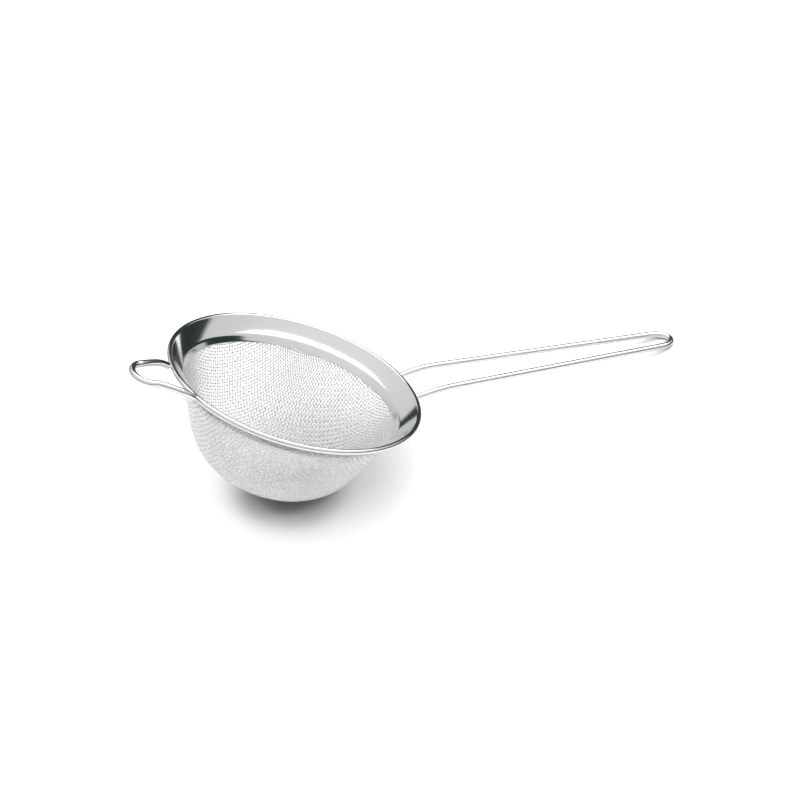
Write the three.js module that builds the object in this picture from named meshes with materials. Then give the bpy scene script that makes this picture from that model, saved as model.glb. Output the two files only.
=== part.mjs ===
// Tea strainer: a pressed rim with a rolled hem, a woven wire bowl, a looped wire handle and a wire
// rest hook, all stainless steel. Millimetres, +Z up, handle along +X, mirrored about Y = 0.
// The strainer is drawn square to its rim first, with the rim's top at z = 0 and its axis on Z.
// Then the whole is tipped to the way it lies on a table, on the bowl and the end of the handle.
import * as THREE from 'three';

// ---- driving dimensions -------------------------------------------------------------------------
const RIM_RADIUS = 40;          // outside of the rolled hem
const SHEET = 0.4;              // rim sheet thickness
const HEM_RADIUS = 0.9;         // outside radius of the rolled hem
const HEM_END_ANGLE = -130;     // degrees, where the rolled edge stops, under the flange
const FLANGE_INNER = 34.05;     // mid-sheet radius where the flange turns down into the collar
const FLANGE_DROP = 4.75;       // depth of that bend below the rim's top
const FLANGE_DISH = 0.28;       // how far the flange sags below a straight cone
const BEND_REACH = 0.45;        // how far each side of the collar's bend the sheet curves
const COLLAR_RADIUS = 33.0;     // mid-sheet radius at the collar's lower edge
const COLLAR_DEPTH = 6.7;       // depth of the collar's lower edge

const CLOTH = 0.64;             // thickness of the woven cloth, two 0.32 wires where they cross
const CLOTH_GAP = 0.3;          // clearance between the cloth and the collar
const BOWL_DEPTH = 36.0;        // lowest point of the bowl below the rim's top
const BOWL_WALL = { radius: 25.75, depth: 21.5 };  // the wall heads for this point
const BOWL_TURN_RADIUS = 27.15; // how far the rounded bottom reaches out
const CLOTH_TOP_DEPTH = 5.9;    // depth of the cloth's upper edge, beside the collar

const HANDLE_WIRE = 1.0;        // wire radius
const HANDLE_FOOT = [34.95, 5.8, -6.5];            // end of the wire, in the corner under the flange
const HANDLE_BEND = [50.0, 6.25, -0.55];           // the wire turns to its long straight stretch
const HANDLE_END = [134.5, 3.6, 12.1];             // the end loop starts here
const HANDLE_BEND_REACH = 4.5;  // how far each side of the bend the wire curves
const HANDLE_LOOP_REACH = 5.6;  // how far the end loop runs past HANDLE_END

const HOOK_WIRE = 1.1;          // wire radius
const HOOK_FOOT = [-39.75, 9.0, -0.15];            // end of the wire, against the hem's outer side
const HOOK_NECK = [-43.6, 8.3, 1.45];              // the arms rise from the hem to here
const HOOK_SHOULDER = [-51.4, 5.7, 2.9];           // the round end of the hook starts here
const HOOK_LOOP_REACH = 5.15;   // how far the round end runs past HOOK_SHOULDER
const HOOK_LOOP_RISE = -0.2;    // how much higher its tip is

// ---- how finely the shapes are cut --------------------------------------------------------------
const RIM_SEGMENTS = 80;
const HEM_STEPS = 13;
const FLANGE_STEPS = 6;
const BEND_STEPS = 3;
const BOWL_SEGMENTS = 32;
const BOWL_WALL_STEPS = 18;
const WIRE_SIDES = 12;          // even, as a circle is drawn in two halves
const HANDLE_STEPS = 90;
const HOOK_STEPS = 56;
const CORNER_STEPS = 4;
const STRAIGHT_STEPS = 6;
const LOOP_STEPS = 10;
const REST_ANGLE_TRIES = 40;

// ---- materials ----------------------------------------------------------------------------------
const steel = (color, roughness) => new THREE.MeshStandardMaterial({ color, roughness, metalness: 1 });
const polishedSheet = steel(0xd4d6d6, 0.12);
const wovenWire = steel(0xdadbdb, 0.3);
const handleWire = steel(0xd8d9d9, 0.18);
const hookWire = steel(0xd2d3d3, 0.22);

// ---- profile helpers (r, z) ---------------------------------------------------------------------
const radians = THREE.MathUtils.degToRad;
const vector2 = (r, z) => new THREE.Vector2(r, z);
const vector3 = (p) => new THREE.Vector3(...p);
const mirrorY = (p) => [p[0], -p[1], p[2]];

// Arc points about a centre, from one angle to another, both ends included.
function arc(centre, radius, from, to, steps) {
  return Array.from({ length: steps + 1 }, (_, i) => {
    const angle = radians(from + ((to - from) * i) / steps);
    return vector2(centre.x + radius * Math.cos(angle), centre.y + radius * Math.sin(angle));
  });
}

// The unit normal on the left of a polyline at each of its points.
function leftNormals(line) {
  return line.map((_, i) => {
    const before = line[Math.max(i - 1, 0)];
    const after = line[Math.min(i + 1, line.length - 1)];
    const along = after.clone().sub(before).normalize();
    return vector2(-along.y, along.x);
  });
}

// A closed outline of even thickness about a mid-line.
function thicken(line, thickness) {
  const normals = leftNormals(line);
  const offset = (side) => line.map((p, i) => p.clone().addScaledVector(normals[i], (side * thickness) / 2));
  return [...offset(1), ...offset(-1).reverse()];
}

// Turns a closed (r, z) outline about Z. LatheGeometry turns about Y, so the result is stood up.
function turn(outline, segments) {
  const clockwise = THREE.ShapeUtils.isClockWise(outline);
  const profile = clockwise ? [...outline].reverse() : [...outline];
  const geometry = new THREE.LatheGeometry([...profile, profile[0].clone()], segments);
  return geometry.rotateX(Math.PI / 2);
}

// ---- rim: hem, flange and collar in one sheet ---------------------------------------------------
function rimProfile() {
  const hemMid = HEM_RADIUS - SHEET / 2;
  const hemCentre = vector2(RIM_RADIUS - HEM_RADIUS, -HEM_RADIUS);
  const bend = vector2(FLANGE_INNER, -FLANGE_DROP);
  const slope = Math.atan2(hemCentre.y + hemMid - bend.y, hemCentre.x - bend.x);
  const hemStart = 90 + THREE.MathUtils.radToDeg(slope);
  const hem = arc(hemCentre, hemMid, hemStart, HEM_END_ANGLE, HEM_STEPS);
  const middle = bend.clone().add(hem[0]).multiplyScalar(0.5);
  middle.y -= 2 * FLANGE_DISH;
  const flange = new THREE.QuadraticBezierCurve(bend, middle, hem[0]).getPoints(FLANGE_STEPS).slice(1, -1);
  const collarFoot = vector2(COLLAR_RADIUS, -COLLAR_DEPTH);
  const down = bend.clone().sub(collarFoot).normalize();
  const up = flange[0].clone().sub(bend).normalize();
  const turnIn = new THREE.QuadraticBezierCurve(
    bend.clone().addScaledVector(down, -BEND_REACH),
    bend,
    bend.clone().addScaledVector(up, BEND_REACH),
  ).getPoints(BEND_STEPS);
  return thicken([collarFoot, ...turnIn, ...flange, ...hem], SHEET);
}

// ---- bowl: the cloth's shell, open at the top ---------------------------------------------------
// The cloth lies against the outside of the collar, then carries on down as the bowl's wall.
function bowlMidLine() {
  const clear = SHEET / 2 + CLOTH_GAP + CLOTH / 2;
  const collarRun = vector2(FLANGE_INNER - COLLAR_RADIUS, COLLAR_DEPTH - FLANGE_DROP);
  const outward = vector2(collarRun.y, -collarRun.x).normalize();
  const foot = vector2(COLLAR_RADIUS, -COLLAR_DEPTH).addScaledVector(outward, clear);
  const rise = COLLAR_DEPTH - CLOTH_TOP_DEPTH;
  const top = foot.clone().addScaledVector(collarRun.clone().normalize(), rise);
  const bottom = -BOWL_DEPTH + CLOTH / 2;
  const wall = new THREE.CubicBezierCurve(
    foot,
    vector2(BOWL_WALL.radius, -BOWL_WALL.depth),
    vector2(BOWL_TURN_RADIUS, bottom),
    vector2(0, bottom),
  );
  return [top, ...wall.getPoints(BOWL_WALL_STEPS)];
}

// The shell's outline runs from the axis up the outside, over the edge, and down the inside to the axis.
// It is turned half a segment on, so that the strainer lies on a flat of the bowl and not on a corner.
function turnBowl() {
  const outline = thicken(bowlMidLine().reverse(), CLOTH).reverse();
  outline[0].x = 0;
  outline[outline.length - 1].x = 0;
  return new THREE.LatheGeometry(outline, BOWL_SEGMENTS, Math.PI / BOWL_SEGMENTS).rotateX(Math.PI / 2);
}

// ---- wires --------------------------------------------------------------------------------------
// A round wire along a curve, with flat cut ends.
function wire(curve, radius, steps) {
  const section = new THREE.Shape();
  section.absarc(0, 0, radius, 0, 2 * Math.PI);
  return new THREE.ExtrudeGeometry(section, { extrudePath: curve, steps, curveSegments: WIRE_SIDES / 2 });
}

// Points of one smooth corner at `at`, between straight runs from `from` and to `to`.
function corner(from, at, to, reach) {
  const inward = vector3(from).sub(vector3(at)).normalize().multiplyScalar(reach);
  const onward = vector3(to).sub(vector3(at)).normalize().multiplyScalar(reach);
  return new THREE.QuadraticBezierCurve3(
    vector3(at).add(inward),
    vector3(at),
    vector3(at).add(onward),
  ).getPoints(CORNER_STEPS);
}

// Half-ellipse in the plane of a loop, from one arm round to the other.
function loopEnd(start, direction, reach, rise) {
  return Array.from({ length: LOOP_STEPS + 1 }, (_, i) => {
    const angle = (Math.PI * i) / LOOP_STEPS;
    const out = Math.sin(angle);
    return new THREE.Vector3(
      start[0] + direction * reach * out,
      start[1] * Math.cos(angle),
      start[2] + rise * out,
    );
  });
}

function handleCurve() {
  const slope = (HANDLE_END[2] - HANDLE_BEND[2]) / (HANDLE_END[0] - HANDLE_BEND[0]);
  const arm = [vector3(HANDLE_FOOT), ...corner(HANDLE_FOOT, HANDLE_BEND, HANDLE_END, HANDLE_BEND_REACH)];
  const straight = new THREE.LineCurve3(arm[arm.length - 1], vector3(HANDLE_END))
    .getPoints(STRAIGHT_STEPS).slice(1, -1);
  const side = [...arm, ...straight];
  const loop = loopEnd(HANDLE_END, 1, HANDLE_LOOP_REACH, slope * HANDLE_LOOP_REACH);
  const back = side.map((p) => new THREE.Vector3(p.x, -p.y, p.z)).reverse();
  return new THREE.CatmullRomCurve3([...side, ...loop, ...back], false, 'centripetal');
}

function hookCurve() {
  const side = [HOOK_FOOT, HOOK_NECK].map(vector3);
  const loop = loopEnd(HOOK_SHOULDER, -1, HOOK_LOOP_REACH, HOOK_LOOP_RISE);
  const back = [HOOK_NECK, HOOK_FOOT].map(mirrorY).map(vector3);
  return new THREE.CatmullRomCurve3([...side, ...loop, ...back], false, 'centripetal');
}

// ---- assembly -----------------------------------------------------------------------------------
function named(name, geometry, material) {
  const mesh = new THREE.Mesh(geometry, material);
  mesh.name = name;
  return mesh;
}

const rim = named('rim_ring', turn(rimProfile(), RIM_SEGMENTS), polishedSheet);
const bowl = named('mesh_bowl', turnBowl(), wovenWire);
const handle = named('handle_wire', wire(handleCurve(), HANDLE_WIRE, HANDLE_STEPS), handleWire);
const hook = named('rest_hook', wire(hookCurve(), HOOK_WIRE, HOOK_STEPS), hookWire);

// How low a piece reaches once the strainer is tipped about Y by an angle.
function lowest(mesh, angle) {
  const { array } = mesh.geometry.attributes.position;
  let low = Infinity;
  for (let i = 0; i < array.length; i += 3) {
    low = Math.min(low, array[i + 2] * Math.cos(angle) - array[i] * Math.sin(angle));
  }
  return low;
}

// The angle at which the bowl and the end of the handle touch the table together.
function restAngle() {
  let level = 0;
  let steep = radians(45);
  for (let i = 0; i < REST_ANGLE_TRIES; i += 1) {
    const angle = (level + steep) / 2;
    if (lowest(bowl, angle) < lowest(handle, angle)) level = angle;
    else steep = angle;
  }
  return level;
}

const strainer = new THREE.Group();
strainer.add(rim, bowl, handle, hook);
strainer.rotation.y = restAngle();

// Stood on z = 0 with the origin under the middle of the box.
const part = new THREE.Group();
part.add(strainer);
part.updateMatrixWorld(true);
const box = new THREE.Box3().setFromObject(part, true);
const middle = box.getCenter(new THREE.Vector3());
strainer.position.set(-middle.x, -middle.y, -box.min.z);

export default part;
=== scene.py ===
import math

import bpy
import numpy as np
from mathutils import Matrix, Vector


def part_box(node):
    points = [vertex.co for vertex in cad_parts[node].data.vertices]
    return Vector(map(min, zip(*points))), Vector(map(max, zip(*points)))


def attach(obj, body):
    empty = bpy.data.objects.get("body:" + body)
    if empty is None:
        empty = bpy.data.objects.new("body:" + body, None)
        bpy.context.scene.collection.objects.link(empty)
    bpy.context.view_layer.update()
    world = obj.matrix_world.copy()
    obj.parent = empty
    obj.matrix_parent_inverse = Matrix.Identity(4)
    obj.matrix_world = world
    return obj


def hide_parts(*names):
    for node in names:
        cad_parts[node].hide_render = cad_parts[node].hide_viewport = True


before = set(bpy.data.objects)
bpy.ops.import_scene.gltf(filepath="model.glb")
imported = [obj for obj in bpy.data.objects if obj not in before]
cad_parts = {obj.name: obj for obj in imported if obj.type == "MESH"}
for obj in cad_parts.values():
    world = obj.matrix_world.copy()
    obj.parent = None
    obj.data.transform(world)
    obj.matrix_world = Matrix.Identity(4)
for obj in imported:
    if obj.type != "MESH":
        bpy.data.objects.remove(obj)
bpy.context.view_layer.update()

MM = 0.001

# ---- the part's driving dimensions, millimetres -------------------------------------------------
RIM_RADIUS = 40.0
SHEET = 0.4
HEM_RADIUS = 0.9
HEM_END_ANGLE = -130.0
FLANGE_INNER, FLANGE_DROP, FLANGE_DISH = 34.05, 4.75, 0.28
BEND_REACH, BEND_CLEAR = 0.45, 0.05
COLLAR_RADIUS, COLLAR_DEPTH = 33.0, 6.7
COLLAR_STRAIGHT = 0.9      # the part of the collar below its bend that is drawn straight
CLOTH, CLOTH_GAP, CLOTH_TOP_DEPTH = 0.64, 0.3, 5.9
BOWL_DEPTH = 36.0
BOWL_WALL = (25.75, -21.5)
BOWL_TURN_RADIUS = 27.15
HANDLE_WIRE = 1.0
HANDLE_FOOT = (34.95, 5.8, -6.5)
HANDLE_BEND = (50.0, 6.25, -0.55)
HANDLE_END = (134.5, 3.6, 12.1)
HANDLE_BEND_REACH, HANDLE_LOOP_REACH = 4.5, 5.6
HOOK_WIRE = 1.1
HOOK_FOOT = (-39.75, 9.0, -0.15)
HOOK_NECK = (-43.6, 8.3, 1.45)
HOOK_SHOULDER = (-51.4, 5.7, 2.9)
HOOK_LOOP_REACH, HOOK_LOOP_RISE = 5.15, -0.2

# ---- the weave ----------------------------------------------------------------------------------
PITCH = 1.0                # between crossings, along the wires
CLOTH_WIRE = 0.16          # wire radius
WEAVE_TURN = 10.0          # degrees from the handle to the cloth's first direction
CLOTH_RUN_ON = 0.8         # the wires' cut ends pass the edge of the cloth, up to the flange
CLOTH_SIDES = 8
CLOTH_STEPS = 4            # along each pitch
CLOTH_BANDS = 4            # pieces for each direction of the weave
NET_RUN_ON = 4             # pitches past the edge to which crossings are worked out
FEWEST_CROSSINGS = 3       # a shorter snip of wire at the edge is left out
GRAIN_APART = 97.0         # from each wire to the next, so that no two have the same grain

# ---- fineness -----------------------------------------------------------------------------------
RIM_SEGMENTS = 320
HEM_STEPS, FLANGE_STEPS, BEND_STEPS, COLLAR_STEPS = 44, 30, 8, 4
STRIP_END_STEPS = 6        # round each cut edge of the rim's sheet
FLANGE_LEAD = 4            # the bend heads for this point of the flange
CLOTH_LINE_STEPS = 1500
WIRE_SIDES = 28
WIRE_STEP = 0.4            # millimetres along the handle and the hook
CORNER_STEPS, ARM_STEPS, LOOP_STEPS = 4, 6, 10
WIRE_END_REACH = 0.3       # how far back from its end a thick wire starts to round off
WIRE_END_TURNS = ((0, 0.45), (0.25, 0.8), (0.6, 0.96))  # parts of that reach and of the radius
SLOPE_STEP = 0.02          # millimetres to each side over which the cloth's slope is taken
NET_TRIES = 12             # Newton steps to each crossing of the weave
FLATTEST_SLOPE = 1e-9      # a step whose equations are nearer to alike than this isn't taken
REST_TRIES = 40            # halvings in the search for the tilt
STEEPEST_TILT = 45         # degrees, where that search starts


# ==== lines ======================================================================================
def bezier(points, steps):
    """Points of a quadratic or cubic Bezier curve."""
    points = [np.array(p, float) for p in points]
    t = np.linspace(0, 1, steps + 1)[:, None]
    while len(points) > 1:
        points = [a * (1 - t) + b * t for a, b in zip(points, points[1:])]
    return points[0]


def arc(centre, radius, start, end, steps):
    """Points of an arc from one angle to another, in degrees."""
    angle = np.radians(np.linspace(start, end, steps + 1))
    return np.array(centre) + radius * np.c_[np.cos(angle), np.sin(angle)]


def left_normals(line):
    """The unit normal on the left of a flat line at each of its points."""
    along = np.gradient(line, axis=0)
    along /= np.linalg.norm(along, axis=1)[:, None]
    return np.c_[-along[:, 1], along[:, 0]]


def rounded_strip(line, thickness):
    """A closed outline of even thickness about a line, with half-round ends."""
    normals = left_normals(line) * thickness / 2
    first, last = (math.degrees(math.atan2(n[1], n[0])) for n in (normals[0], normals[-1]))
    end = arc(line[-1], thickness / 2, last, last - 180, STRIP_END_STEPS)[1:-1]
    start = arc(line[0], thickness / 2, first - 180, first - 360, STRIP_END_STEPS)[1:-1]
    return np.concatenate([line + normals, end, (line - normals)[::-1], start])


def smooth_line(points, step):
    """A centripetal Catmull-Rom curve through points, with a point about every step."""
    points = np.array(points, float)
    padded = np.concatenate([[2 * points[0] - points[1]], points, [2 * points[-1] - points[-2]]])
    line = []
    for p0, p1, p2, p3 in zip(padded, padded[1:], padded[2:], padded[3:]):
        d0, d1, d2 = (math.sqrt(np.linalg.norm(b - a)) for a, b in ((p0, p1), (p1, p2), (p2, p3)))
        m1 = ((p1 - p0) / d0 - (p2 - p0) / (d0 + d1) + (p2 - p1) / d1) * d1
        m2 = ((p2 - p1) / d1 - (p3 - p1) / (d1 + d2) + (p3 - p2) / d2) * d1
        count = max(2, math.ceil(np.linalg.norm(p2 - p1) / step))
        t = (np.arange(count) / count)[:, None]
        line.append(
            (2 * t**3 - 3 * t**2 + 1) * p1
            + (t**3 - 2 * t**2 + t) * m1
            + (3 * t**2 - 2 * t**3) * p2
            + (t**3 - t**2) * m2
        )
    return np.concatenate([*line, points[-1:]])


# ==== the strainer's lines =======================================================================
def rim_line():
    """Middle of the rim's sheet, as (r, z): collar, flange, then the hem rolled out and under."""
    hem_mid = HEM_RADIUS - SHEET / 2
    hem_centre = np.array([RIM_RADIUS - HEM_RADIUS, -HEM_RADIUS])
    bend = np.array([FLANGE_INNER, -FLANGE_DROP])
    slope = math.atan2(hem_centre[1] + hem_mid - bend[1], hem_centre[0] - bend[0])
    hem = arc(hem_centre, hem_mid, 90 + math.degrees(slope), HEM_END_ANGLE, HEM_STEPS)
    middle = (bend + hem[0]) / 2 - [0, 2 * FLANGE_DISH]
    flange = bezier([bend, middle, hem[0]], FLANGE_STEPS)[1:-1]
    foot = np.array([COLLAR_RADIUS, -COLLAR_DEPTH])
    down = (bend - foot) / np.linalg.norm(bend - foot)
    up = (flange[FLANGE_LEAD] - bend) / np.linalg.norm(flange[FLANGE_LEAD] - bend)
    turn_in = bezier([bend - down * BEND_REACH, bend, bend + up * BEND_REACH], BEND_STEPS)
    outer = flange[flange[:, 0] > turn_in[-1, 0] + BEND_CLEAR]
    collar = foot + np.linspace(0, COLLAR_STRAIGHT, COLLAR_STEPS + 1)[:, None] * (turn_in[0] - foot)
    return np.concatenate([collar, turn_in, outer, hem])


def cloth_line():
    """Middle of the cloth as (r, z), from its upper edge beside the collar down to the axis."""
    clear = SHEET / 2 + CLOTH_GAP + CLOTH / 2
    run = np.array([FLANGE_INNER - COLLAR_RADIUS, COLLAR_DEPTH - FLANGE_DROP])
    run /= np.linalg.norm(run)
    outward = np.array([run[1], -run[0]])
    foot = np.array([COLLAR_RADIUS, -COLLAR_DEPTH]) + outward * clear
    top = foot + run * (COLLAR_DEPTH - CLOTH_TOP_DEPTH)
    bottom = -BOWL_DEPTH + CLOTH / 2
    wall = bezier([foot, BOWL_WALL, (BOWL_TURN_RADIUS, bottom), (0, bottom)], CLOTH_LINE_STEPS)
    return np.concatenate([[top], wall])


def corner(before, at, after, reach):
    """One smooth corner between two straight runs."""
    before, at, after = (np.array(p) for p in (before, at, after))
    inward = (before - at) / np.linalg.norm(before - at)
    onward = (after - at) / np.linalg.norm(after - at)
    return bezier([at + inward * reach, at, at + onward * reach], CORNER_STEPS)


def loop_end(start, direction, reach, rise):
    """Half an ellipse from one arm of a loop round to the other."""
    angle = np.linspace(0, np.pi, LOOP_STEPS + 1)
    out = np.sin(angle)
    return np.c_[
        start[0] + direction * reach * out, start[1] * np.cos(angle), start[2] + rise * out
    ]


def there_and_back(side, loop):
    """One arm, the round end, and the arm mirrored in the strainer's middle plane."""
    return np.concatenate([side, loop, (side * [1, -1, 1])[::-1]])


def handle_line():
    """Middle of the handle's wire."""
    slope = (HANDLE_END[2] - HANDLE_BEND[2]) / (HANDLE_END[0] - HANDLE_BEND[0])
    arm = np.concatenate(
        [[HANDLE_FOOT], corner(HANDLE_FOOT, HANDLE_BEND, HANDLE_END, HANDLE_BEND_REACH)]
    )
    straight = np.linspace(arm[-1], HANDLE_END, ARM_STEPS + 1)[1:-1]
    loop = loop_end(HANDLE_END, 1, HANDLE_LOOP_REACH, slope * HANDLE_LOOP_REACH)
    return smooth_line(there_and_back(np.concatenate([arm, straight]), loop), WIRE_STEP)


def hook_line():
    """Middle of the hook's wire."""
    side = np.array([HOOK_FOOT, HOOK_NECK])
    loop = loop_end(HOOK_SHOULDER, -1, HOOK_LOOP_REACH, HOOK_LOOP_RISE)
    return smooth_line(there_and_back(side, loop), WIRE_STEP)


# ==== how it lies ================================================================================
def rest_tilt():
    """The tilt at which the bowl and the end of the handle touch the table together."""
    cloth = cloth_line()
    outside = cloth + left_normals(cloth) * CLOTH / 2
    handle = handle_line()
    level, steep = 0.0, math.radians(STEEPEST_TILT)
    for _ in range(REST_TRIES):
        tilt = (level + steep) / 2
        bowl_low = (outside[:, 1] * math.cos(tilt) - outside[:, 0] * math.sin(tilt)).min()
        handle_low = (handle[:, 2] * math.cos(tilt) - handle[:, 0] * math.sin(tilt)).min()
        if bowl_low < handle_low - HANDLE_WIRE:
            level = tilt
        else:
            steep = tilt
    return tilt


def laid_down():
    """The matrix from the rim's own frame, in millimetres, to the row frame, in metres."""
    low, high = (np.array(c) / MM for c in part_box("rim_ring"))
    tilt = rest_tilt()
    reach = (RIM_RADIUS - HEM_RADIUS) * math.sin(tilt) + HEM_RADIUS
    hem_middle = Vector(((low[0] + high[0]) / 2, 0, high[2] - reach))
    turn = Matrix.Rotation(tilt, 4, "Y")
    top_middle = hem_middle + turn @ Vector((0, 0, HEM_RADIUS))
    return Matrix.Scale(MM, 4) @ Matrix.Translation(top_middle) @ turn


LAID_DOWN = np.array(laid_down())


# ==== meshes =====================================================================================
def make_piece(name, vertices, faces, grain, node, slot, material):
    """A smooth piece from points in the rim's frame, standing for a CAD node and riding with it.
    grain holds, for each vertex, the place in the metal's grain that its material reads."""
    placed = vertices @ LAID_DOWN[:3, :3].T + LAID_DOWN[:3, 3]
    mesh = bpy.data.meshes.new(name)
    mesh.from_pydata(placed.tolist(), [], faces)
    field = mesh.attributes.new("grain", "FLOAT_VECTOR", "POINT")
    field.data.foreach_set("vector", np.ascontiguousarray(grain, np.float32).ravel())
    mesh.shade_smooth()
    mesh.materials.append(material)
    piece = bpy.data.objects.new(name, mesh)
    bpy.context.scene.collection.objects.link(piece)
    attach(piece, "root")
    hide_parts(node)
    return piece


def grid_faces(rows, columns, start=0, closed_rows=False):
    """Quads over a grid whose columns close on themselves, and its rows too if asked."""
    row = np.arange(rows if closed_rows else rows - 1)[:, None]
    column = np.arange(columns)[None, :]
    onward, beside = (row + 1) % rows, (column + 1) % columns
    quads = np.stack(
        [
            row * columns + column,
            onward * columns + column,
            onward * columns + beside,
            row * columns + beside,
        ],
        axis=-1,
    )
    return (quads.reshape(-1, 4) + start).tolist()


def turned(outline, segments):
    """A closed (r, z) outline turned about Z: vertices, faces and grain."""
    angle = np.arange(segments) * 2 * np.pi / segments
    r, z = outline[:, 0][None, :], outline[:, 1][None, :]
    vertices = np.stack(
        [r * np.cos(angle)[:, None], r * np.sin(angle)[:, None], z + 0 * angle[:, None]], axis=-1
    ).reshape(-1, 3)
    grain = np.c_[np.tile(travelled(outline), segments), vertices[:, 0], vertices[:, 1]]
    return vertices, grid_faces(segments, len(outline), closed_rows=True), grain


def along_line(line):
    """The unit direction of a line at each of its points."""
    along = np.gradient(line, axis=0)
    return along / np.linalg.norm(along, axis=1)[:, None]


def travelled(line):
    """The distance from a line's start to each of its points."""
    return np.concatenate([[0], np.cumsum(np.linalg.norm(np.diff(line, axis=0), axis=1))])


def softened(line, up, side, along, radius):
    """The line, its two sideways directions and its radii, with both ends rounded off."""
    back, turns = np.array(WIRE_END_TURNS).T
    reach = WIRE_END_REACH * back[:, None]
    first = line[0] + along[0] * reach
    last = line[-1] - along[-1] * reach[::-1]
    size = np.full(len(line) - 4, radius)
    pick = np.r_[[0] * len(turns), np.arange(2, len(up) - 2), [len(up) - 1] * len(turns)]
    line = np.concatenate([first, line[2:-2], last])
    size = np.concatenate([radius * turns, size, radius * turns[::-1]])
    return line, up[pick], side[pick], size


def swept(line, up, radius, sides, soft_ends=False, start=0):
    """A round wire along a line: vertices, faces and grain. up points sideways at each point, and
    start is the number of the first vertex."""
    along = along_line(line)
    up = up - (up * along).sum(1)[:, None] * along
    up /= np.linalg.norm(up, axis=1)[:, None]
    side = np.cross(along, up)
    size = np.full(len(line), radius)
    if soft_ends:
        line, up, side, size = softened(line, up, side, along, radius)
    angle = np.arange(sides) * 2 * np.pi / sides
    cos, sin = np.cos(angle), np.sin(angle)
    ring = up[:, None, :] * cos[None, :, None] + side[:, None, :] * sin[None, :, None]
    vertices = (line[:, None, :] + ring * size[:, None, None]).reshape(-1, 3)
    grain = np.c_[
        np.repeat(travelled(line), sides),
        np.tile(cos, len(line)) * radius,
        np.tile(sin, len(line)) * radius,
    ]
    faces = [face[::-1] for face in grid_faces(len(line), sides, start)]
    faces.append([start + i for i in range(sides)])
    faces.append([start + (len(line) - 1) * sides + i for i in reversed(range(sides))])
    return vertices, faces, grain


# ==== the woven cloth ============================================================================
def cloth_table():
    """Length from the axis, radius and height along the cloth's middle, run on past its edge."""
    line = cloth_line()[::-1]
    out = (line[-1] - line[-2]) / np.linalg.norm(line[-1] - line[-2])
    line = np.concatenate([line, [line[-1] + out * NET_RUN_ON * PITCH]])
    return travelled(line), line[:, 0], line[:, 1]


def on_cloth(table, length, turn):
    """Points, slopes and outward normals of the cloth's middle at a length and a turn."""
    r, z = (np.interp(length, table[0], t) for t in table[1:])
    before, after = np.maximum(length - SLOPE_STEP, 0), length + SLOPE_STEP
    dr, dz = (
        (np.interp(after, table[0], t) - np.interp(before, table[0], t)) / (after - before)
        for t in table[1:]
    )
    cos, sin = np.cos(turn), np.sin(turn)
    point = np.stack([r * cos, r * sin, z], axis=-1)
    down_line = np.stack([dr * cos, dr * sin, dz], axis=-1)
    round_line = np.stack([-r * sin, r * cos, 0 * r], axis=-1)
    normal = np.stack([dz * cos, dz * sin, -dr], axis=-1)
    return point, down_line, round_line, normal / np.linalg.norm(normal, axis=-1)[..., None]


def quarter_net(table):
    """Crossings of a quarter of the cloth, as lengths and turns. Flat cloth pressed into a bowl
    keeps its pitch and shears, so each crossing lies one pitch from its two neighbours."""
    count = int(table[0][-1] / PITCH) + 1
    net = np.full((count, count, 2), np.nan)
    net[:, 0, 0] = net[0, :, 0] = np.arange(count) * PITCH
    net[:, 0, 1], net[0, :, 1] = 0, np.pi / 2
    for diagonal in range(2, 2 * count - 1):
        i = np.arange(max(1, diagonal - count + 1), min(diagonal, count))
        j = diagonal - i
        low, left, under = net[i - 1, j - 1], net[i - 1, j], net[i, j - 1]
        a, b, c = (on_cloth(table, n[:, 0], n[:, 1])[0] for n in (left, under, low))
        guess = a + b - c
        length = left[:, 0] + under[:, 0] - low[:, 0]
        turn = np.arctan2(guess[:, 1], guess[:, 0])
        for _ in range(NET_TRIES):
            point, along, across, _n = on_cloth(table, length, turn)
            to_a, to_b = point - a, point - b
            miss = np.stack([(to_a**2).sum(1), (to_b**2).sum(1)], axis=1) - PITCH**2
            slope = 2 * np.stack(
                [(to * line).sum(1) for to in (to_a, to_b) for line in (along, across)], axis=1
            ).reshape(-1, 2, 2)
            size = np.abs(np.linalg.det(np.nan_to_num(slope)))
            sound = np.isfinite(slope).all((1, 2)) & (size > FLATTEST_SLOPE)
            change = np.zeros_like(miss)
            change[sound] = np.linalg.solve(slope[sound], miss[sound][:, :, None])[:, :, 0]
            length = length - change[:, 0]
            turn = turn - change[:, 1]
        lost = ~np.isfinite(length) | (length > table[0][-1]) | (length < 0)
        net[i, j] = np.where(lost[:, None], np.nan, np.stack([length, turn], axis=1))
    return net


def whole_net(quarter):
    """The quarter turned round into all four, indexed from the middle."""
    n = len(quarter) - 1
    index = np.arange(-n, n + 1)
    i, j = np.meshgrid(index, index, indexing="ij")
    turns = np.select([(i >= 0) & (j >= 0), (i < 0) & (j >= 0), (i < 0) & (j < 0)], [0, 1, 2], 3)
    first = np.select([turns == 0, turns == 1, turns == 2], [i, j, -i], -j)
    second = np.select([turns == 0, turns == 1, turns == 2], [j, -i, -j], i)
    net = quarter[first, second].copy()
    net[..., 1] += turns * np.pi / 2 + math.radians(WEAVE_TURN)
    return net


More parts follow.
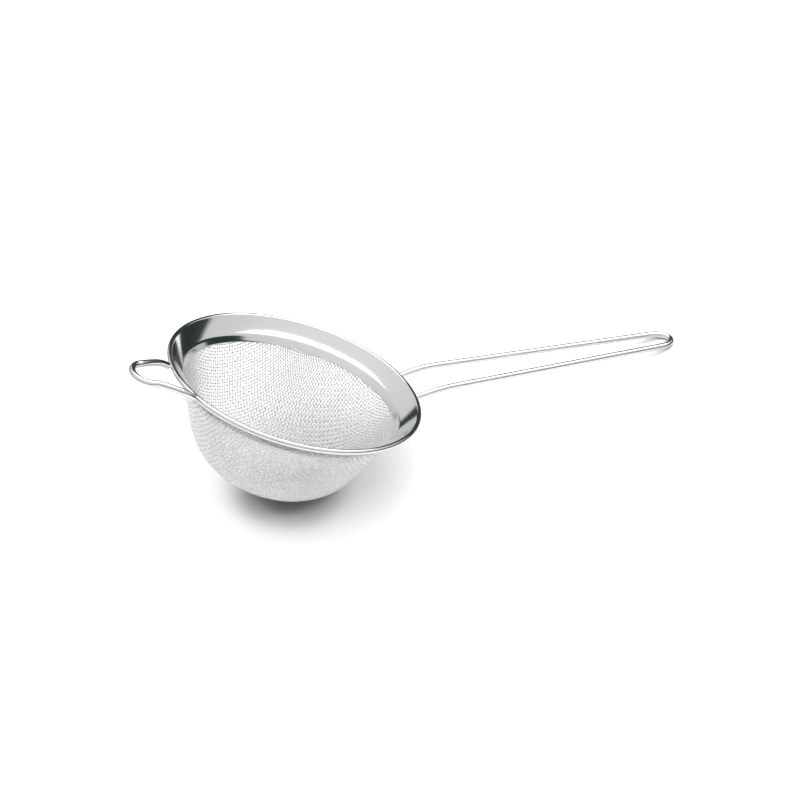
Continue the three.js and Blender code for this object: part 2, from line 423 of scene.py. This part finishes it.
def woven_wire(nodes, signs, table, edge):
    """One wire of the cloth: its line, over and under its neighbours, and the cloth's normals."""
    there = np.flatnonzero(np.isfinite(nodes[:, 0]))
    nodes, signs = nodes[there], signs[there]
    point, _a, _b, normal = on_cloth(table, nodes[:, 0], nodes[:, 1])
    padded = np.concatenate([[2 * point[0] - point[1]], point, [2 * point[-1] - point[-2]]])
    p0, p1, p2, p3 = (padded[k : k + len(point) - 1, None, :] for k in range(4))
    t = (np.arange(CLOTH_STEPS) / CLOTH_STEPS)[None, :, None]
    middle = 0.5 * (
        2 * p1
        + (p2 - p0) * t
        + (2 * p0 - 5 * p1 + 4 * p2 - p3) * t**2
        + (3 * p1 - p0 - 3 * p2 + p3) * t**3
    )
    up = normal[:-1, None, :] * (1 - t) + normal[1:, None, :] * t
    up /= np.linalg.norm(up, axis=2)[:, :, None]
    height = CLOTH_WIRE * signs[:-1, None, None] * np.cos(np.pi * t)
    length = nodes[:-1, 0, None] * (1 - t[:, :, 0]) + nodes[1:, 0, None] * t[:, :, 0]
    line = (middle + up * height).reshape(-1, 3)
    kept = np.flatnonzero(length.reshape(-1) <= edge)
    kept = slice(kept[0], kept[-1] + 1)
    return line[kept], up.reshape(-1, 3)[kept]


def cloth_bands(name, wires, material):
    """The wires of one direction, as a few pieces of about the same length of wire."""
    total = sum(len(line) for line, _up in wires)
    band, filled, parts = 1, 0, []
    for number, (line, up) in enumerate(wires):
        start = sum(len(vertices) for vertices, _faces, _grain in parts)
        vertices, faces, grain = swept(line, up, CLOTH_WIRE, CLOTH_SIDES, start=start)
        grain[:, 0] += number * GRAIN_APART
        parts.append((vertices, faces, grain))
        filled += len(line)
        if filled >= total * band / CLOTH_BANDS - 1 or number == len(wires) - 1:
            vertices, faces, grain = zip(*parts)
            make_piece(
                f"cloth_{name}_{band}",
                np.concatenate(vertices),
                [face for wire in faces for face in wire],
                np.concatenate(grain),
                "mesh_bowl",
                "woven_wire",
                material,
            )
            band, parts = band + 1, []


def cloth_pieces(material):
    """The woven bowl: every wire of both directions, in bands of neighbouring wires."""
    table = cloth_table()
    edge = table[0][-2] + CLOTH_RUN_ON
    net = whole_net(quarter_net(table))
    n = len(net) // 2
    index = np.arange(-n, n + 1)
    for name, crossings, over in (("warp", net.transpose(1, 0, 2), 1), ("weft", net, -1)):
        wires = []
        for k in index:
            signs = over * (-1.0) ** ((index + k) % 2)
            inside = crossings[k + n, :, 0] <= edge
            if inside.sum() >= FEWEST_CROSSINGS:
                wires.append(woven_wire(crossings[k + n], signs, table, edge))
        cloth_bands(name, wires, material)


# ==== the other pieces ===========================================================================
def rim_piece(material):
    """Flange, collar and rolled hem, pressed from one sheet."""
    outline = rounded_strip(rim_line(), SHEET)
    make_piece("rim", *turned(outline, RIM_SEGMENTS), "rim_ring", "polished_sheet", material)


def wire_piece(name, line, radius, node, slot, material):
    """The handle or the hook, bent from one round wire."""
    up = np.tile([0.0, 0.0, 1.0], (len(line), 1))
    shape = swept(line, up, radius, WIRE_SIDES, soft_ends=True)
    make_piece(name, *shape, node, slot, material)


# ==== materials ==================================================================================
CLOUD_SCALE, CLOUD_DETAIL = 0.12, 2.0
LINE_DETAIL = 4.0
NOISE_LOW, NOISE_HIGH = 0.3, 0.7       # the range that most of the noise lies in
DULL = 0.965                           # the colour of the dullest cloud, as a part of the brightest
RELIEF_DEPTH = 0.00002                 # metres


def noise(nodes, links, place, scale, detail):
    """A noise texture read at a place."""
    texture = nodes.new("ShaderNodeTexNoise")
    texture.inputs["Scale"].default_value = scale
    texture.inputs["Detail"].default_value = detail
    links.new(place, texture.inputs["Vector"])
    return texture.outputs["Fac"]


def spread_out(nodes, links, fac, low, high):
    """The noise's usual range mapped to the range from low to high."""
    remap = nodes.new("ShaderNodeMapRange")
    remap.inputs["From Min"].default_value = NOISE_LOW
    remap.inputs["From Max"].default_value = NOISE_HIGH
    remap.inputs["To Min"].default_value = low
    remap.inputs["To Max"].default_value = high
    links.new(fac, remap.inputs["Value"])
    return remap.outputs["Result"]


def steel(name, colour, roughness, spread, grain_scale, bump):
    """Bright stainless steel. grain_scale stretches the grain along and across its direction."""
    material = bpy.data.materials.new(name)
    material.use_nodes = True
    nodes, links = material.node_tree.nodes, material.node_tree.links
    shader = nodes["Principled BSDF"]
    shader.inputs["Metallic"].default_value = 1.0
    place = nodes.new("ShaderNodeAttribute")
    place.attribute_name = "grain"
    stretch = nodes.new("ShaderNodeVectorMath")
    stretch.operation = "MULTIPLY"
    stretch.inputs[1].default_value = grain_scale
    links.new(place.outputs["Vector"], stretch.inputs[0])
    lines = noise(nodes, links, stretch.outputs[0], 1.0, LINE_DETAIL)
    clouds = noise(nodes, links, place.outputs["Vector"], CLOUD_SCALE, CLOUD_DETAIL)

    tint = nodes.new("ShaderNodeMix")
    tint.data_type = "RGBA"
    tint.inputs[6].default_value = (*[c * DULL for c in colour], 1)
    tint.inputs[7].default_value = (*colour, 1)
    links.new(spread_out(nodes, links, clouds, 0.0, 1.0), tint.inputs[0])
    links.new(tint.outputs[2], shader.inputs["Base Color"])
    rough = spread_out(nodes, links, lines, roughness, roughness + spread)
    links.new(rough, shader.inputs["Roughness"])

    relief = nodes.new("ShaderNodeBump")
    relief.inputs["Strength"].default_value = bump
    relief.inputs["Distance"].default_value = RELIEF_DEPTH
    links.new(lines, relief.inputs["Height"])
    links.new(relief.outputs["Normal"], shader.inputs["Normal"])
    return material


def paper(name, colour):
    """Matt paper."""
    material = bpy.data.materials.new(name)
    material.use_nodes = True
    shader = material.node_tree.nodes["Principled BSDF"]
    shader.inputs["Base Color"].default_value = (*colour, 1)
    shader.inputs["Roughness"].default_value = 0.9
    shader.inputs["Specular IOR Level"].default_value = 0.0
    return material


# ==== studio =====================================================================================
CAMERA_AT = (-0.35528, -0.64713, 0.59074)
CAMERA_AZIMUTH, CAMERA_ELEVATION, CAMERA_ROLL = -28.34, 38.07, -1.14
CAMERA_LENS = 135.0
# Colours of the room by height, from the horizon at 0 to straight overhead at 1.
ROOM = (
    (0.0, (0.03, 0.04, 0.04)),
    (0.15, (0.05, 0.06, 0.06)),
    (0.21, (0.72, 0.72, 0.72)),
    (0.5, (0.78, 0.78, 0.78)),
    (1.0, (0.90, 0.90, 0.90)),
)
# Corners of the mirrored table, metres to the camera's right and ahead of the rim's middle.
TABLE = ((-0.9, -0.5), (0.5, -0.5), (0.14, 0.0), (0.10, 0.16), (-0.1, 0.5), (-0.9, 0.9))
TABLE_BELOW = 0.0002       # metres from the floor down to the mirrored table
FLOOR_HALF = 1.3
FLOOR_GREY, TABLE_WHITE, BLACK = (0.42,) * 3, (0.8,) * 3, (0.02, 0.025, 0.025)
SOFTBOX_AT, SOFTBOX_SIZE, SOFTBOX_POWER = (0.45, 0.75, 1.0), 1.8, 13.0
TOP_LIGHT_HEIGHT, TOP_LIGHT_SIZE, TOP_LIGHT_POWER = 1.2, 2.6, 92.0
BACKDROP_AHEAD, BACKDROP_LEFT, BACKDROP_RIGHT, BACKDROP_HEIGHT = 0.8, -0.2, 0.75, 0.7
SHADE_MIDDLE, SHADE_RADIUS, SHADE_CORNERS = (-0.0489, -0.0065, 0.007), 0.0155, 32
HEADING = math.radians(90 + CAMERA_AZIMUTH)    # which way the camera faces, from +X towards +Y


def facing(right, ahead, up=0.0):
    """A point or direction given as the camera's right, ahead and up, level with the table."""
    cos, sin = math.cos(HEADING), math.sin(HEADING)
    return Vector((sin * right + cos * ahead, -cos * right + sin * ahead, up))


def make_camera():
    """The camera at the photograph's place: long lens, looking down at the strainer."""
    data = bpy.data.cameras.new("camera")
    data.lens = CAMERA_LENS
    data.sensor_width = 36.0
    data.clip_start, data.clip_end = 0.05, 20.0
    camera = bpy.data.objects.new("camera", data)
    bpy.context.scene.collection.objects.link(camera)
    azimuth, elevation = math.radians(CAMERA_AZIMUTH), math.radians(CAMERA_ELEVATION)
    camera.matrix_world = (
        Matrix.Translation(CAMERA_AT)
        @ Matrix.Rotation(azimuth, 4, "Z")
        @ Matrix.Rotation(math.pi / 2 - elevation, 4, "X")
        @ Matrix.Rotation(math.radians(CAMERA_ROLL), 4, "Z")
    )
    bpy.context.scene.camera = camera


def stage_sheet(name, corners, material, **seen_by):
    """A flat piece of the stage. seen_by switches off kinds of ray that shouldn't meet it."""
    mesh = bpy.data.meshes.new(name)
    mesh.from_pydata([tuple(c) for c in corners], [], [list(range(len(corners)))])
    mesh.materials.append(material)
    sheet = bpy.data.objects.new(name, mesh)
    bpy.context.scene.collection.objects.link(sheet)
    for kind, seen in seen_by.items():
        setattr(sheet, f"visible_{kind}", seen)
    return sheet


def soft_light(name, place, aim, shape, size, power, glossy=True):
    """An area light that looks at a point."""
    data = bpy.data.lights.new(name, "AREA")
    data.shape, data.size, data.energy = shape, size, power
    light = bpy.data.objects.new(name, data)
    light.location = place
    light.rotation_euler = (Vector(aim) - Vector(place)).to_track_quat("-Z", "Y").to_euler()
    light.visible_camera = False
    light.visible_glossy = glossy
    bpy.context.scene.collection.objects.link(light)


def make_world():
    """A pale room with dark walls below the height of the lights. The camera sees plain white."""
    world = bpy.data.worlds.new("studio")
    world.use_nodes = True
    nodes, links = world.node_tree.nodes, world.node_tree.links
    place = nodes.new("ShaderNodeTexCoord")
    split = nodes.new("ShaderNodeSeparateXYZ")
    links.new(place.outputs["Generated"], split.inputs[0])
    ramp = nodes.new("ShaderNodeValToRGB")
    while len(ramp.color_ramp.elements) < len(ROOM):
        ramp.color_ramp.elements.new(0.5)
    for stop, (height, colour) in zip(ramp.color_ramp.elements, ROOM):
        stop.position = height
        stop.color = (*colour, 1)
    links.new(split.outputs["Z"], ramp.inputs[0])
    links.new(ramp.outputs["Color"], nodes["Background"].inputs["Color"])
    seen = nodes.new("ShaderNodeBackground")
    seen.inputs["Color"].default_value = (1, 1, 1, 1)
    ray = nodes.new("ShaderNodeLightPath")
    choice = nodes.new("ShaderNodeMixShader")
    links.new(ray.outputs["Is Camera Ray"], choice.inputs[0])
    links.new(nodes["Background"].outputs[0], choice.inputs[1])
    links.new(seen.outputs[0], choice.inputs[2])
    links.new(choice.outputs[0], nodes["World Output"].inputs["Surface"])
    bpy.context.scene.world = world


def make_floor(middle):
    """A floor that the camera sees, over a smaller and paler table that only the metal mirrors."""
    square = [(x * FLOOR_HALF, y * FLOOR_HALF, 0) for x, y in ((-1, -1), (1, -1), (1, 1), (-1, 1))]
    stage_sheet("floor", square, paper("floor_paper", FLOOR_GREY), glossy=False, shadow=False)
    corners = [middle + facing(right, ahead) for right, ahead in TABLE]
    white = paper("paper", TABLE_WHITE)
    stage_sheet("table", corners, white, camera=False, diffuse=False, shadow=False)


def make_dark_cards(middle):
    """A round card inside the foot of the bowl, which deepens the shadow below it, and a tall one
    far behind the strainer, which only the metal mirrors."""
    black = paper("black_paper", BLACK)
    angles = np.arange(SHADE_CORNERS) * 2 * np.pi / SHADE_CORNERS
    x, y, height = SHADE_MIDDLE
    shade = [(x + SHADE_RADIUS * math.cos(a), y + SHADE_RADIUS * math.sin(a), height) for a in angles]
    stage_sheet("shade", shade, black, camera=False, glossy=False)
    left, right = BACKDROP_LEFT, BACKDROP_RIGHT
    across_and_up = ((left, 0), (right, 0), (right, BACKDROP_HEIGHT), (left, BACKDROP_HEIGHT))
    backdrop = [middle + facing(across, BACKDROP_AHEAD, up) for across, up in across_and_up]
    stage_sheet("backdrop", backdrop, black, camera=False, diffuse=False, shadow=False)


def make_lights(middle):
    """A softbox that the metal mirrors, and a wide light overhead that it doesn't."""
    softbox = facing(*SOFTBOX_AT)
    soft_light("softbox", softbox, softbox - Vector((0, 0, 1)), "DISK", SOFTBOX_SIZE, SOFTBOX_POWER)
    top = (middle.x, 0, TOP_LIGHT_HEIGHT)
    soft_light("top_light", top, middle, "SQUARE", TOP_LIGHT_SIZE, TOP_LIGHT_POWER, glossy=False)


def make_stage():
    """Floor, cards and lights, placed about the middle of the rim."""
    rim_low, rim_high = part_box("rim_ring")
    middle = Vector(((rim_low.x + rim_high.x) / 2, 0, -TABLE_BELOW))
    make_floor(middle)
    make_dark_cards(middle)
    make_lights(middle)


# ==== build ======================================================================================
polished = steel("polished_sheet", (0.80, 0.805, 0.805), 0.06, 0.06, (9.0, 0.35, 0.35), 0.25)
drawn = steel("drawn_wire", (0.80, 0.80, 0.80), 0.10, 0.10, (0.25, 9.0, 9.0), 0.3)
woven = steel("woven_wire", (0.90, 0.90, 0.90), 0.22, 0.12, (0.6, 16.0, 16.0), 0.3)

rim_piece(polished)
wire_piece("handle", handle_line(), HANDLE_WIRE, "handle_wire", "handle_wire", drawn)
wire_piece("hook", hook_line(), HOOK_WIRE, "rest_hook", "hook_wire", drawn)
cloth_pieces(woven)

make_camera()
make_world()
make_stage()
bpy.context.scene.view_settings.view_transform = "Standard"
